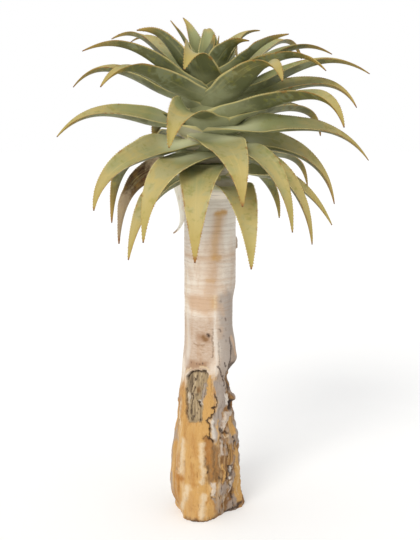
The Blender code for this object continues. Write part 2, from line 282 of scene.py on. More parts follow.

# Each row: kind of tint, wear in most rows and painted shade in some, then strength, depth and how soft the
# edge is, then the outline's corners
OUTLINES = (
    # Where the right side draws in above and below its flap, and the lower left of the foot
    ("", 0, -11, 40, ((56, 870), (132, 870), (132, 700), (56, 700))),
    ("", 0, -13, 12, ((62, 530), (120, 530), (120, 465), (62, 465))),
    ("", 0, -7, 20, ((60, 435), (120, 435), (120, 60), (60, 60))),
    ("", 0, -14, 45, ((-104, 50), (-60, 50), (-60, -50), (-104, -50))),
    # Bands under the rings
    ("tan", 90, 0, 18, (
        (-52, 868), (-40, 874), (0, 870), (17, 868), (17, 822), (-5, 806), (-44, 812), (-52, 818),
    )),
    ("ochre", 50, 0, 18, ((0, 866), (16, 864), (19, 826), (4, 820))),
    ("clay", 50, 0, 20, ((-85, 790), (15, 780), (16, 700), (10, 620), (-5, 600), (-60, 620), (-85, 620))),
    ("grey", 70, 0, 50, (
        (40, 880), (84, 890), (104, 810), (98, 720), (118, 640), (96, 560), (60, 570), (44, 660),
    )),
    ("grey", 80, 0, 12, (
        (19, 872), (40, 885), (62, 870), (72, 780), (66, 660), (54, 585), (40, 520), (22, 530), (22, 620),
        (18, 700),
    )),
    ("clay", 90, 1, 12, ((-60, 622), (-4, 617), (-2, 588), (-20, 590), (-40, 580), (-57, 565))),
    # Golden plates of the front, and the grey and brown ground right of the long crack
    ("ochre", 85, 1, 9, (
        (-41, 372), (-10, 368), (-9, 300), (-11, 200), (-10, 145), (-26, 128), (-36, 150), (-34, 215),
        (-38, 255), (-33, 300), (-37, 335),
    )),
    ("ochre", 80, 1, 9, ((-27, 118), (-11, 122), (-13, 60), (-16, 12), (-38, 10))),
    ("ochre", 70, 1, 10, ((2, 98), (10, 70), (16, 20), (4, 8), (-3, 40))),
    ("ochre", 100, 2.5, 3, (
        (0, 560), (9, 560), (10, 490), (18, 470), (14, 440), (17, 415), (5, 390), (7, 335), (-3, 325),
        (-4, 240), (-4, 160), (4, 110), (0, 60), (-14, 70), (-14, 360), (-6, 390), (-7, 460),
    )),
    ("grey", 95, 0, 5, (
        (13, 545), (44, 530), (50, 450), (36, 410), (31, 360), (24, 330), (21, 300), (13, 310), (10, 345),
        (12, 400), (21, 420), (26, 460), (20, 500),
    )),
    ("brown", 85, -3, 9, (
        (-3, 332), (9, 330), (14, 300), (24, 280), (28, 220), (26, 172), (20, 142), (15, 160), (8, 140),
        (1, 160), (2, 205), (-1, 250),
    )),
    ("amber", 75, 1, 8, ((-3, 330), (7, 330), (11, 290), (10, 235), (1, 215), (-1, 260))),
    ("chalk", 60, 1.2, 3, ((8, 153), (17, 150), (16, 98), (12, 90), (8, 100))),
    # Painted shade on the underside of the right flap and in the hollow under it, and the flakes that peel
    # from it
    ("brown", 35, 0, 12, ((55, 660), (78, 672), (96, 640), (84, 590), (56, 600))),
    ("dark", 80, -5, 7, (
        (50, 598), (60, 606), (80, 602), (91, 572), (84, 545), (93, 520), (80, 492), (60, 490), (50, 515),
    )),
    ("dark", 100, -12, 4, ((50, 452), (62, 462), (84, 440), (92, 415), (70, 412), (56, 424))),
    ("chalk", 60, 4, 2, ((42, 489), (51, 486), (56, 458), (51, 438), (45, 450))),
    ("ochre", 95, 1, 4, ((50, 374), (72, 400), (78, 350), (68, 312), (52, 318))),
    ("chalk", 50, 8, 1.5, (
        (40, 413), (58, 417), (68, 408), (60, 394), (50, 382), (44, 370), (38, 356), (31, 342), (31, 356),
        (33, 378), (37, 398),
    )),
    ("grey", 95, 1, 5, ((72, 345), (100, 360), (110, 270), (78, 262))),
    # Grey wood inside the hollow above the foot of the right ridge
    ("dark", 70, -6, 4, ((42, 205), (52, 205), (54, 160), (44, 150))),
    ("ochre", 95, 3, 5, ((58, 250), (74, 260), (96, 100), (92, 30), (76, 30), (70, 90), (64, 170))),
)

# Each row: kind of tint, wear in most rows and painted shade in some, then strength, depth and half the
# width, then the points of the line
MARKS = (
    # Stain that runs down from a cut leaf
    ("tan", 75, 0, 45, (
        (22, 1165), (18, 1130), (13, 1090), (10, 1050), (9, 1020), (8, 980), (5, 940), (3, 890),
    )),
    ("ochre", 40, 0, 26, ((22, 1170), (18, 1140), (13, 1100), (10, 1060), (10, 1020))),
    ("ochre", 90, 0, 17, ((15, 1176), (26, 1180), (36, 1180))),
    ("ochre", 85, 0, 18, ((6, 1012), (20, 1012))),
    ("ochre", 35, 0, 14, ((-6, 930), (8, 928))),
    ("tan", 60, 0, 18, ((-80, 1020), (-40, 1014), (0, 1008))),
    ("tan", 40, 0, 20, ((20, 1012), (70, 1022))),
    ("tan", 60, 0, 30, ((-80, 862), (-60, 856), (-50, 845))),
    ("tan", 40, 0, 22, ((26, 905), (34, 880))),
    ("tan", 45, 0, 20, ((24, 830), (30, 800))),
    ("tan", 30, 0, 18, ((26, 745), (24, 715))),
    ("chalk", 45, 0, 24, ((-60, 810), (-60, 760), (-56, 660), (-55, 600))),
    ("pale", 70, 0.4, 4, ((-66, 960), (-65, 800), (-62, 660))),
    ("brown", 100, 7, 9, ((88, 1074), (89, 1040))),
    # Seams, hole and pits of the stem's foot
    ("pale", 90, 0.6, 6, ((11, 870), (11, 810))),
    ("chalk", 60, 0.6, 7, ((11, 810), (10, 740), (10, 680))),
    ("dark", 55, -1.5, 4, ((6, 740), (6, 680), (6, 635))),
    ("chalk", 55, 0.8, 10, ((13, 740), (13, 680), (15, 620), (18, 565))),
    ("dark", 40, -1, 4, ((18, 690), (22, 620), (24, 600))),
    ("clay", 85, 0, 30, ((-22, 712), (-8, 706))),
    ("dark", 100, -6, 11, ((-4, 721), (-3, 718))),
    ("brown", 85, -1, 14, ((-15, 712), (-9, 700))),
    ("brown", 55, -1, 5, ((-40, 683), (-25, 678), (-12, 680))),
    ("dark", 70, -1, 4, ((-41, 608), (-41, 606))),
    ("dark", 80, -1, 4, ((-28, 607), (-28, 605))),
    ("dark", 60, -1, 4, ((-21, 609), (-21, 607))),
    ("dark", 100, -1.5, 5, ((-14, 610), (-14, 607))),
    ("dark", 40, -1, 6, ((24, 855), (25, 848))),
    ("dark", 75, -1.5, 5, ((35, 783), (37, 772))),
    ("dark", 45, -1, 5, ((37, 741), (38, 736))),
    ("dark", 75, -1.5, 5, ((22, 740), (24, 731))),
    ("dark", 40, -1, 4, ((27, 786), (27, 782))),
    ("dark", 35, -1, 4, ((31, 716), (32, 712))),
    ("dark", 40, -1, 4, ((26, 668), (27, 664))),
    ("brown", 40, -0.8, 3, ((-23, 664), (-19, 663))),
    ("brown", 35, -0.8, 3, ((-17, 652), (-13, 650))),
    ("brown", 35, -0.8, 3, ((-21, 640), (-18, 639))),
    ("dark", 45, -1, 5, ((39, 697), (39, 692))),
    # Right flap, with painted shade along its left edge, and its crack
    ("dark", 85, -4, 8, ((53, 700), (54, 660), (52, 600))),
    ("tan", 90, 2, 14, ((61, 700), (68, 660), (75, 630))),
    ("dark", 100, -5, 6, ((37, 608), (41, 595))),
    ("dark", 90, -4.5, 6, ((45, 570), (51, 515), (55, 488))),
    ("dark", 85, -3, 5, ((20, 598), (29, 575), (42, 535), (40, 518))),
    # Rim, knots and cracks of the wound
    ("pale", 90, 2.5, 7, ((-54, 568), (-48, 580), (-42, 586))),
    ("pale", 90, 2.5, 6, ((-18, 597), (-4, 594), (0, 585))),
    ("dark", 90, -4, 6, ((-53, 548), (-46, 562), (-38, 570), (-22, 580), (-6, 576))),
    ("dark", 55, -2, 22, ((-44, 548), (-42, 520), (-44, 500))),
    ("dark", 90, -3, 8, ((-30, 547), (-28, 540))),
    ("brown", 80, 2, 14, ((-20, 510), (-17, 500))),
    ("dark", 85, -4, 5, ((-30, 512), (-33, 480), (-32, 452), (-37, 430), (-35, 410))),
    ("chalk", 45, 1, 11, ((-42, 480), (-41, 452))),
    ("dark", 60, -2, 6, ((-52, 500), (-47, 450), (-46, 405), (-38, 384))),
    ("chalk", 80, 2, 8, ((-13, 466), (-9, 452))),
    ("dark", 100, -5, 6, ((-18, 461), (-12, 443))),
    ("grey", 90, 0, 10, ((-3, 530), (-4, 490), (-10, 460))),
    ("ochre", 100, 3, 9, ((5, 565), (8, 530), (8, 460), (6, 390))),
    # Long jagged crack
    ("dark", 100, -6, 5.5, (
        (18, 488), (24, 472), (22, 445), (14, 439), (17, 429), (17, 413), (9, 404), (4, 391), (8, 371),
        (7, 345), (4, 332), (9, 318), (12, 306),
    )),
    ("dark", 60, -3, 5, ((7, 332), (1, 335), (-4, 326))),
    ("dark", 50, -3, 6, ((2, 250), (-1, 231), (3, 208), (1, 188))),
    ("dark", 80, -4, 7, ((1, 200), (3, 192))),
    ("amber", 60, 1, 8, ((8, 250), (10, 205), (8, 168))),
    ("amber", 45, 0.8, 6, ((20, 270), (18, 225), (21, 185))),
    ("dark", 35, -1.5, 4, ((14, 290), (15, 235), (13, 180))),
    ("pale", 45, 1, 5, ((24, 255), (25, 205))),
    ("amber", 60, 1, 12, ((9, 85), (13, 55), (16, 30))),
    ("dark", 55, -3, 5, ((6, 108), (9, 90), (15, 82))),
    ("chalk", 60, 2, 12, ((12, 392), (14, 360), (13, 325))),
    ("ochre", 80, 3, 8, ((24, 386), (23, 340), (21, 296))),
    ("chalk", 50, 2, 9, ((29, 313), (28, 256))),
    ("dark", 95, -3.5, 5, ((30, 354), (34, 340), (45, 334))),
    ("pale", 75, 1.5, 4, ((33, 332), (37, 319), (42, 327))),
    ("dark", 95, -5, 7, ((58, 315), (66, 285), (61, 260))),
    # Left side of the foot
    ("brown", 50, 5, 10, ((-82, 448), (-82, 440))),
    ("pale", 85, 3, 9, ((-65, 444), (-68, 411), (-61, 359))),
    ("amber", 50, 1, 10, ((-65, 523), (-56, 456), (-57, 376))),
    ("dark", 50, -2, 4, ((-53, 185), (-58, 196))),
    ("grey", 90, 0, 16, ((-72, 335), (-74, 310))),
    ("grey", 95, 0, 14, ((-88, 260), (-82, 230))),
    ("grey", 100, 0, 26, ((-76, 165), (-74, 130), (-80, 85))),
    # Pale and orange streaks of the foot
    ("pale", 90, 1.6, 17, ((-6, 303), (-6, 258), (-5, 211), (-5, 157))),
    ("pale", 90, 1.6, 17, ((-3, 105), (-6, 67), (-8, 20))),
    ("pale", 90, 1.6, 19, ((-45, 306), (-42, 261), (-44, 221), (-46, 181))),
    ("pale", 90, 1.6, 20, ((-30, 131), (-36, 77), (-49, 15))),
    ("amber", 100, 0, 24, ((-52, 160), (-42, 157))),
    ("amber", 50, 0, 22, ((-24, 330), (-22, 290), (-18, 260))),
    ("amber", 65, 0, 18, ((-24, 215), (-20, 180), (-21, 145))),
    ("amber", 35, 0, 20, ((-22, 100), (-25, 50))),
    ("amber", 70, 0, 10, ((2, 90), (3, 80))),
    # Right side of the foot
    ("ochre", 100, 3, 9, ((30, 215), (34, 177), (32, 145))),
    ("chalk", 60, -1, 7, ((47, 196), (49, 182))),
    ("chalk", 85, 1, 8, ((46, 155), (48, 151))),
    ("chalk", 60, 1, 6, ((50, 135), (51, 100), (52, 85))),
    ("dark", 90, -5, 6, ((60, 85), (67, 45), (69, 14))),
    ("dark", 80, -4, 5, ((44, 146), (53, 109))),
    ("dark", 70, -3.5, 4, ((23, 174), (26, 156))),
    ("grey", 80, 0, 10, ((28, 110), (26, 95))),
    ("grey", 70, 0, 10, ((14, 82), (18, 68))),
    ("pale", 80, 2, 9, ((37, 80), (44, 40), (46, 20))),
    ("pale", 75, 2, 6, ((74, 200), (80, 120), (82, 60))),
    # Painted shade along the foot's bottom edge, where it meets the ground
    ("dark", 95, -3, 14, ((88, 20), (66, 6), (50, 0))),
    ("brown", 80, 0, 24, ((-34, 0), (-5, 0), (30, 0))),
    ("dark", 85, -2, 12, ((-22, 0), (-5, 0), (12, 0))),
)

# Studio
FLOOR_HALF = 30.0
DUST_SHADE = 0.985
SENSOR = 36.0
CAMERA_PLACE = (0.010, -3.60, 1.56)
CAMERA_PITCH = 9.6
SUN_FROM = (-0.45, -1.00, 0.85)
SUN_SOFTNESS = 25.0
SUN_COLOUR = (1.0, 0.985, 0.95)
SKY_COLOUR = (0.97, 0.98, 1.0)
SEEN_COLOUR = (1.0, 1.0, 1.0)


def linear(text):
    """A colour written as on a screen, as the numbers that a shader takes."""
    parts = [int(text[i : i + 2], 16) / 255 for i in (0, 2, 4)]
    return tuple(p / 12.92 if p <= 0.04045 else ((p + 0.055) / 1.055) ** 2.4 for p in parts)


def colour(name, text, description):
    return FloatVectorProperty(
        name=name, description=description, subtype="COLOR", size=3, min=0, max=1, default=linear(text)
    )


def length(name, default, description):
    return FloatProperty(name=name, description=description, unit="LENGTH", min=0, default=default)


def amount(name, default, description, least=0.0, unit="NONE"):
    return FloatProperty(name=name, description=description, min=least, default=default, unit=unit)


class AloeSizes(bpy.types.PropertyGroup):
    tooth_pitch: length("Tooth pitch", 0.0090, "Distance between the teeth along a leaf's margin")
    tooth_length: length("Tooth length", 0.0034, "How far a tooth stands out of the margin")
    margin_wave: length("Margin wave", 0.0040, "How far a leaf's margins rise and fall along it")
    scar_pitch: length("Scar pitch", 0.0085, "Rise of the stem from one leaf scar to the next")
    scar_depth: length("Scar depth", 0.0009, "Depth of the line that a leaf's base left round the stem")


class AloeColours(bpy.types.PropertyGroup):
    # Sheath: the leaf base's own paler colour, lightened further as painted light for the shade among the
    # leaf bases
    sheath: colour("Sheath", "DCDDB4", "Foot of a leaf, where it clasps the stem")
    sage: colour("Sage", "969968", "Upper face near the stem")
    straw: colour("Straw", "B6A465", "Upper face further out")
    bloom: colour("Bloom", "949C7C", "Greyish wax on both faces")
    olive: colour("Olive", "87832F", "Stains on both faces")
    # Shade and moss: the lower face's own darker green, darkened further as painted shade
    shade: colour("Shade", "5B5F3D", "Lower face near the stem")
    moss: colour("Moss", "5F5C2C", "Lower face further out")
    margin: colour("Margin", "D8CB8A", "Thin edge of a leaf")
    gold: colour("Gold", "B7934A", "Dry stretches of the edge")
    ripe: colour("Ripe", "A0974D", "Skin towards the tip")
    tooth: colour("Tooth", "93632E", "Teeth and dried stretches of the edge")
    tip: colour("Tip", "55361E", "Dry point of a leaf")
    dried: colour("Dried", "4A3320", "Lower face of the withered leaf")
    bleached: colour("Bleached", "F6F1E4", "Dead leaf that the sun has bleached")
    cream: colour("Cream", "E8DDCD", "Bark of the stem")
    # Lilac grey: weathered bark, and on the stem's right side also painted shade
    lilac: colour("Lilac grey", "A3968B", "Weathered bark")
    tan: colour("Tan", "C8A88A", "Warm patches of bark")
    clay: colour("Clay", "9F7B5D", "Old bark under the rings")
    ochre: colour("Ochre", "C79B5C", "Plates of the foot")
    amber: colour("Amber", "AC763A", "Deeper ochre and stains")
    # Brown: ground between the plates, and partly painted shade on the foot's right side
    brown: colour("Brown", "805C36", "Ground between the plates")
    pale: colour("Pale", "D9C29F", "Streaks in the plates")
    wood: colour("Wood", "A48F6E", "Bare wood in the wound")
    # Umber: cracks and holes, and painted shade under the right flap and along the foot's bottom edge
    umber: colour("Umber", "3F3028", "Cracks, holes and the burnt foot")
    # Chalk: flakes and bare bark, and painted light on the stem's top under the crown
    chalk: colour("Chalk", "E2DACE", "Flakes and the newest bare bark")


class StudioSettings(bpy.types.PropertyGroup):
    floor: colour("Floor", "F2F1EF", "Floor of the studio")
    glow: amount("Glow", 0.12, "Light that the floor gives off itself")
    sky: amount("Sky", 0.84, "Strength of the even light from all round")
    sun: amount("Sun", 1.40, "Strength of the soft key light")
    focal: amount("Focal length", 64.0, "Lens of the camera, in millimetres", least=1.0, unit="CAMERA")


def smoothstep(low, high, value):
    share = np.clip((value - low) / (high - low), 0.0, 1.0)
    return share * share * (3 - 2 * share)


def turn_from(middle, angle):
    """The turn from a bearing to each angle, at most half a circle either way, in radians."""
    return (angle - middle + math.pi) % (2 * math.pi) - math.pi


def axis(height):
    """The trunk's middle line: it bows a little, then leans. Gives X alone, as Y is 0."""
    lean = smoothstep(LEAN_LOW, LEAN_HIGH, height)
    return LEAN * lean - SWAY * (1 - lean) * smoothstep(0, SWAY_FOOT, height)


def trunk_radius(height):
    """The trunk's girth, drawn in above the lowest leaves to a rounded tip inside the rosette."""
    radius = np.full(np.shape(height), PROFILE[-1][1])
    for (low, below), (high, above) in zip(PROFILE, PROFILE[1:]):
        inside = (low <= height) & (height < high)
        radius = np.where(inside, below + (above - below) * smoothstep(low, high, height), radius)
    share = np.clip((height - HEAD_LOW) / (HEAD_TOP - HEAD_LOW), 0.0, 1.0)
    return radius * np.sqrt(1 - share**HEAD_FULLNESS)


def ring_points(height, angle, radius):
    """Points round the trunk's middle line."""
    return np.column_stack([axis(height) + radius * np.cos(angle), radius * np.sin(angle), height])


def bump_height(angle, height):
    total = np.zeros(np.shape(angle))
    for bump in BUMPS:
        aside = turn_from(math.radians(bump.around), angle) * float(trunk_radius(bump.height)) / bump.wide
        total += bump.depth * np.exp(-(aside**2) - ((height - bump.height) / bump.tall) ** 2)
    return total


def plan(angle):
    return Vector((math.cos(math.radians(angle)), math.sin(math.radians(angle)), 0.0))


def slope(angle, rise):
    """The direction that heads towards a plan angle and climbs at a slope."""
    return plan(angle) * math.cos(math.radians(rise)) + Vector((0, 0, math.sin(math.radians(rise))))


def leaf_around(leaf):
    """Where the leaf leaves the stem: each slot is a golden angle on from the last."""
    return SPIRAL_START + SPIRAL_TURN * leaf.slot + leaf.shift


def leaf_height(leaf):
    return FIRST_LEAF + (LAST_LEAF - FIRST_LEAF) * (leaf.slot / LAST_SLOT) ** SLOT_POWER


def leaf_curve(leaf):
    """The four control points of the Bezier curve along the middle of the leaf's upper face."""
    height = leaf_height(leaf)
    around = leaf_around(leaf)
    stem = Vector((float(axis(height)), 0.0, height))
    start = stem + plan(around) * max(0.0, float(trunk_radius(height)) - INSET)
    tip = Vector((stem.x, 0, leaf.tip)) + plan(leaf.bearing) * leaf.reach
    handle = (tip - start).length * HANDLE * leaf.full
    return (
        start,
        start + slope(around, leaf.rise) * handle,
        tip - slope(leaf.bearing + leaf.hook, leaf.droop) * handle,
        tip,
    )


def bezier(points, s):
    a, b, c, d = points
    r = 1 - s
    return a * r**3 + b * (3 * r * r * s) + c * (3 * r * s * s) + d * s**3


def bezier_slope(points, s):
    a, b, c, d = points
    r = 1 - s
    return ((b - a) * r * r + (c - b) * (2 * r * s) + (d - c) * s * s).normalized()


def leaf_stations(leaf, steps):
    """Share, point, sideways and upwards directions at each station, turned as little as can be."""
    points = leaf_curve(leaf)
    side = Vector((0, 0, 1)).cross(plan(leaf_around(leaf)))
    before = bezier_slope(points, 0)
    stations = []
    for step in range(steps + 1):
        s = step / steps
        tangent = bezier_slope(points, s)
        side = before.rotation_difference(tangent) @ side
        side = (side - tangent * side.dot(tangent)).normalized()
        roll = math.radians(leaf.twist) * float(smoothstep(0, TWIST_SHARE, s))
        turned = Quaternion(tangent, roll) @ side
        stations.append((s, bezier(points, s), turned, tangent.cross(turned)))
        before = tangent
    return stations


def half_width(leaf, s):
    blade = BLADE_WIDTH * (1 - s**TAPER_POWER)
    sheath = (SHEATH_WIDTH - BLADE_WIDTH) * (1 - smoothstep(0, SHEATH_SHARE, s))
    return (TIP_WIDTH + (blade + sheath) * leaf.width) / 2


def leaf_skin(leaf, stations, row, across, depth_share, wave):
    """Points of the leaf's skin: across runs from margin to margin, depth_share from upper to lower face."""
    s = np.array([station[0] for station in stations])[row]
    middle, side, up = (np.array([station[i] for station in stations])[row] for i in (1, 2, 3))
    radius = max(LEAST_STEM, float(trunk_radius(leaf_height(leaf))))
    half = half_width(leaf, s)
    clasp = 1 - smoothstep(0, CLASP_SHARE, s)
    angle = np.minimum(MOST_WRAP, half / radius) * np.abs(across)
    aside = radius * np.sin(angle) * clasp + half * np.abs(across) * (1 - clasp)
    back = radius * (1 - np.cos(angle)) * clasp
    lift = CHANNEL * leaf.fold * (1 - clasp) * half * (across**2 - SAG) + wave * (1 - clasp) * across**4
    body = SHEATH_BODY + (1 - SHEATH_BODY) * smoothstep(0, SHEATH_SHARE, s)
    middle_depth = (THICKNESS - RIM) * leaf.width * body * (1 - s) ** THINNING
    heel = smoothstep(HEEL_SLIM, HEEL_BROAD, radius) * (1 - smoothstep(0, HEEL_SHARE, s))
    depth = RIM * (1 - RIM_TAPER * s) + middle_depth * (1 - across**2) ** KEEL
    depth = depth_share * depth * (1 - heel)
    drop = depth_share * HEEL * leaf.width * heel * (1 - HEEL_FADE * across**2)
    outwards = np.array(plan(leaf_around(leaf)))
    points = middle + side * (np.copysign(aside, across))[:, None] + up * (lift - depth)[:, None]
    points -= outwards * back[:, None] + np.array((0, 0, 1)) * drop[:, None]
    return points, s, side, np.cross(side, up)


def split_ends(bm):
    """Crosses each end face with edges from upper to lower corners, so that it bends with the leaf."""
    for face in [f for f in bm.faces if len(f.verts) > 4]:
        corners = list(face.verts)
        for top in [v for v in corners if v.co.y > LEAST_RISE]:
            low = min(corners, key=lambda v: (v.co.x - top.co.x) ** 2 + (v.co.y + top.co.y) ** 2)
            bmesh.ops.connect_verts(bm, verts=[top, low])


def drawn_bar(name, sides, steps, crossed=False):
    """A closed bar along Z, ready to be drawn out: its mesh, and the row and the place of each corner."""
    bm = bmesh.new()
    bmesh.ops.create_cone(bm, cap_ends=True, segments=sides, radius1=1, radius2=1, depth=1)
    along = [e for e in bm.edges if abs(e.verts[0].co.z - e.verts[1].co.z) > HALF]
    bmesh.ops.subdivide_edges(bm, edges=along, cuts=steps - 1, use_grid_fill=True)
    if crossed:
        split_ends(bm)
    mesh = bpy.data.meshes.new(name)
    bm.to_mesh(mesh)
    bm.free()
    points = read_points(mesh)
    row = np.rint((points[:, 2] + HALF) * steps).astype(int)
    return mesh, row, points


def read_points(mesh):
    points = np.empty(len(mesh.vertices) * 3, dtype=np.float32)
    mesh.vertices.foreach_get("co", points)
    return points.reshape(-1, 3).astype(float)


def write_points(mesh, points):
    mesh.vertices.foreach_set("co", points.astype(np.float32).ravel())
    mesh.update()


def write_uv(mesh, name, values):
    """Stores two numbers for each vertex as a UV map, which a Boolean keeps."""
    layer = mesh.uv_layers.new(name=name)
    corners = np.empty(len(mesh.loops), dtype=np.int32)
    mesh.loops.foreach_get("vertex_index", corners)
    layer.uv.foreach_set("vector", values[corners].astype(np.float32).ravel())


def write_mask(mesh, name, values):
    layer = mesh.attributes.new(name, "FLOAT", "POINT")
    layer.data.foreach_set("value", values.astype(np.float32))


def curve_length(leaf):
    points = leaf_curve(leaf)
    marks = [bezier(points, i / CURVE_PIECES) for i in range(CURVE_PIECES + 1)]
    return sum((b - a).length for a, b in zip(marks, marks[1:]))


def leaf_blade(leaf, sizes):
    """One leaf: a bar drawn out along its curve, with a tooth at every third station of each margin."""
    teeth = max(LEAST_TEETH, round(curve_length(leaf) / sizes.tooth_pitch))
    steps = teeth * STEPS_PER_TOOTH
    mesh, row, points = drawn_bar(f"blade_{leaf.slot:02d}", GIRTH, steps, crossed=True)
    x, y = points[:, 0], points[:, 1]
    corner = np.rint(np.degrees(np.arctan2(np.abs(x), y)) * GIRTH / 360).astype(int)
    across = np.copysign(np.array(ACROSS)[corner], x)
    depth_share = np.array(DEPTH_SHARE)[corner]
    rng = np.random.default_rng(leaf.slot)
    marks = np.linspace(0, 1, WAVES)
    curl = CURL if leaf.slot in (DRIED_SLOT, BLEACHED_SLOT) else 1
    waves = rng.normal(0, 1, (2, WAVES)) * sizes.margin_wave * curl
    shares = row / steps
    wave = np.where(x < 0, np.interp(shares, marks, waves[0]), np.interp(shares, marks, waves[1]))
    wave *= half_width(leaf, shares) / half_width(leaf, 0)
    skin, s, side, tangent = leaf_skin(leaf, leaf_stations(leaf, steps), row, across, depth_share, wave)
    teeth_grow = rng.uniform(*TEETH_SPREAD, (2, teeth + 1))
    rim = corner == GIRTH // 4
    peak = rim & (row % STEPS_PER_TOOTH == STEPS_PER_TOOTH - 1) & (leaf.slot != BLEACHED_SLOT)
    strength = teeth_grow[(x > 0).astype(int), row // STEPS_PER_TOOTH]
    strength *= smoothstep(TEETH_FROM, TEETH_FULL, s) * (1 - smoothstep(TEETH_END, 1, s))
    tooth = np.where(peak, strength, 0.0)
    skin += (side * np.sign(x)[:, None] + tangent * TOOTH_HOOK) * (tooth * sizes.tooth_length)[:, None]
    write_points(mesh, skin)
    write_uv(mesh, "Blade", np.column_stack([across, s]))
    write_uv(mesh, "Face", np.column_stack([depth_share, tooth]))
    return mesh


def add_object(name, data):
    thing = bpy.data.objects.new(name, data)
    bpy.context.scene.collection.objects.link(thing)
    return thing


def carve(mesh, cutters):
    """The mesh with every cutter taken away, so that no leaf runs through the stem or a younger leaf."""
    piece = add_object("piece", mesh)
    tools = [add_object("cutter", cutter) for cutter in cutters]
    for tool in tools:
        cut = piece.modifiers.new("cut", "BOOLEAN")
        cut.operation = "DIFFERENCE"
        cut.solver = "MANIFOLD"
        cut.object = tool
    shape = piece.evaluated_get(bpy.context.evaluated_depsgraph_get())
    carved = bpy.data.meshes.new_from_object(shape)
    for used in tools + [piece]:
        bpy.data.objects.remove(used)
    return carved


def largest_body(mesh):
    """Drops the scraps that a cut leaves loose."""
    bm = bmesh.new()
    bm.from_mesh(mesh)
    left = set(bm.verts)
    bodies = []
    while left:
        body = []
        edge = [left.pop()]
        while edge:
            vert = edge.pop()
            body.append(vert)
            for link in vert.link_edges:
                other = link.other_vert(vert)
                if other in left:
                    left.remove(other)
                    edge.append(other)
        bodies.append(body)
    bodies.sort(key=len)
    bmesh.ops.delete(bm, geom=[v for body in bodies[:-1] for v in body], context="VERTS")
    bm.to_mesh(mesh)
    bm.free()


def tree(mesh):
    return BVHTree.FromPolygons([v.co for v in mesh.vertices], [f.vertices for f in mesh.polygons])


def place(mesh, material, slot, node):
    """Links a finished mesh as a piece that stands for a solid of the frame."""
    mesh.materials.clear()
    mesh.materials.append(material)
    mesh.shade_smooth()
    mesh.set_sharp_from_angle(angle=math.radians(SMOOTH_ANGLE))
    piece = add_object(mesh.name, mesh)
    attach(piece, BODY)
    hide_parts(node)


def stem_room():
    """The stem as a plain bar, for cutting the leaves to it."""
    mesh, row, points = drawn_bar("stem room", ROOM_SIDES, ROOM_RINGS)
    reach = HEAD_TOP - HEAD_BLUNT - FIRST_LEAF + ROOM_BELOW
    height = FIRST_LEAF - ROOM_BELOW + reach * row / ROOM_RINGS
    angle = np.arctan2(points[:, 1], points[:, 0])
    write_points(mesh, ring_points(height, angle, trunk_radius(height)))
    for name in ("Blade", "Face"):
        write_uv(mesh, name, np.ones((len(mesh.vertices), 2)))
    return mesh


def grow_leaves(sizes, green, dried, bleached):
    blades = [leaf_blade(leaf, sizes) for leaf in LEAVES]
    trees = [tree(blade) for blade in blades]
    stem = stem_room()
    for index, leaf in enumerate(LEAVES):
        younger = range(index + 1, len(LEAVES))
        touched = [blades[other].copy() for other in younger if trees[index].overlap(trees[other])]
        name = blades[index].name
        blade = carve(blades[index], [stem.copy()] + touched)
        largest_body(blade)
        blade.name = name
        rng = np.random.default_rng(TONE_SEED + leaf.slot)
        low = 1 - leaf.slot / LAST_SLOT
        warmth = WARM_BY_AGE * low**2 + WARM_BY_CHANCE * rng.uniform(0, 1)
        dryness = low * rng.uniform(0, 1)
        write_mask(blade, "warmth", np.full(len(blade.vertices), warmth))
        write_mask(blade, "dryness", np.full(len(blade.vertices), dryness))
        look = {DRIED_SLOT: dried, BLEACHED_SLOT: bleached}.get(leaf.slot, green)
        slot = "leaf" if look is green else "dry_leaf"
        place(blade, look, slot, f"leaf_{leaf.slot:02d}")


class Value:
    """A shader socket in a sum: 1 - mask or mask * 2 adds the Math node that it needs."""

    def __init__(self, graph, socket):
        self.graph = graph
        self.socket = socket

    def math(self, operation, first, second=0.0):
        return self.graph.node("Math", {"operation": operation}, {0: first, 1: second})

    def __add__(self, other):
        return self.math("ADD", self, other)

    def __sub__(self, other):
        return self.math("SUBTRACT", self, other)

    def __rsub__(self, other):
        return self.math("SUBTRACT", other, self)

    def __mul__(self, other):
        return self.math("MULTIPLY", self, other)

    def __abs__(self):
        return self.math("ABSOLUTE", self)

    __radd__ = __add__
    __rmul__ = __mul__

    def step(self, low, high):
        """0 below low, 1 above high and smooth between them; falls instead where low is the higher."""
        sockets = {"Value": self, "From Min": low, "From Max": high}
        return self.graph.node("MapRange", {"interpolation_type": "SMOOTHSTEP"}, sockets)

    def coat(self, share, tint):
        """This colour under a share of another."""
        return self.graph.mix(share, self, tint)


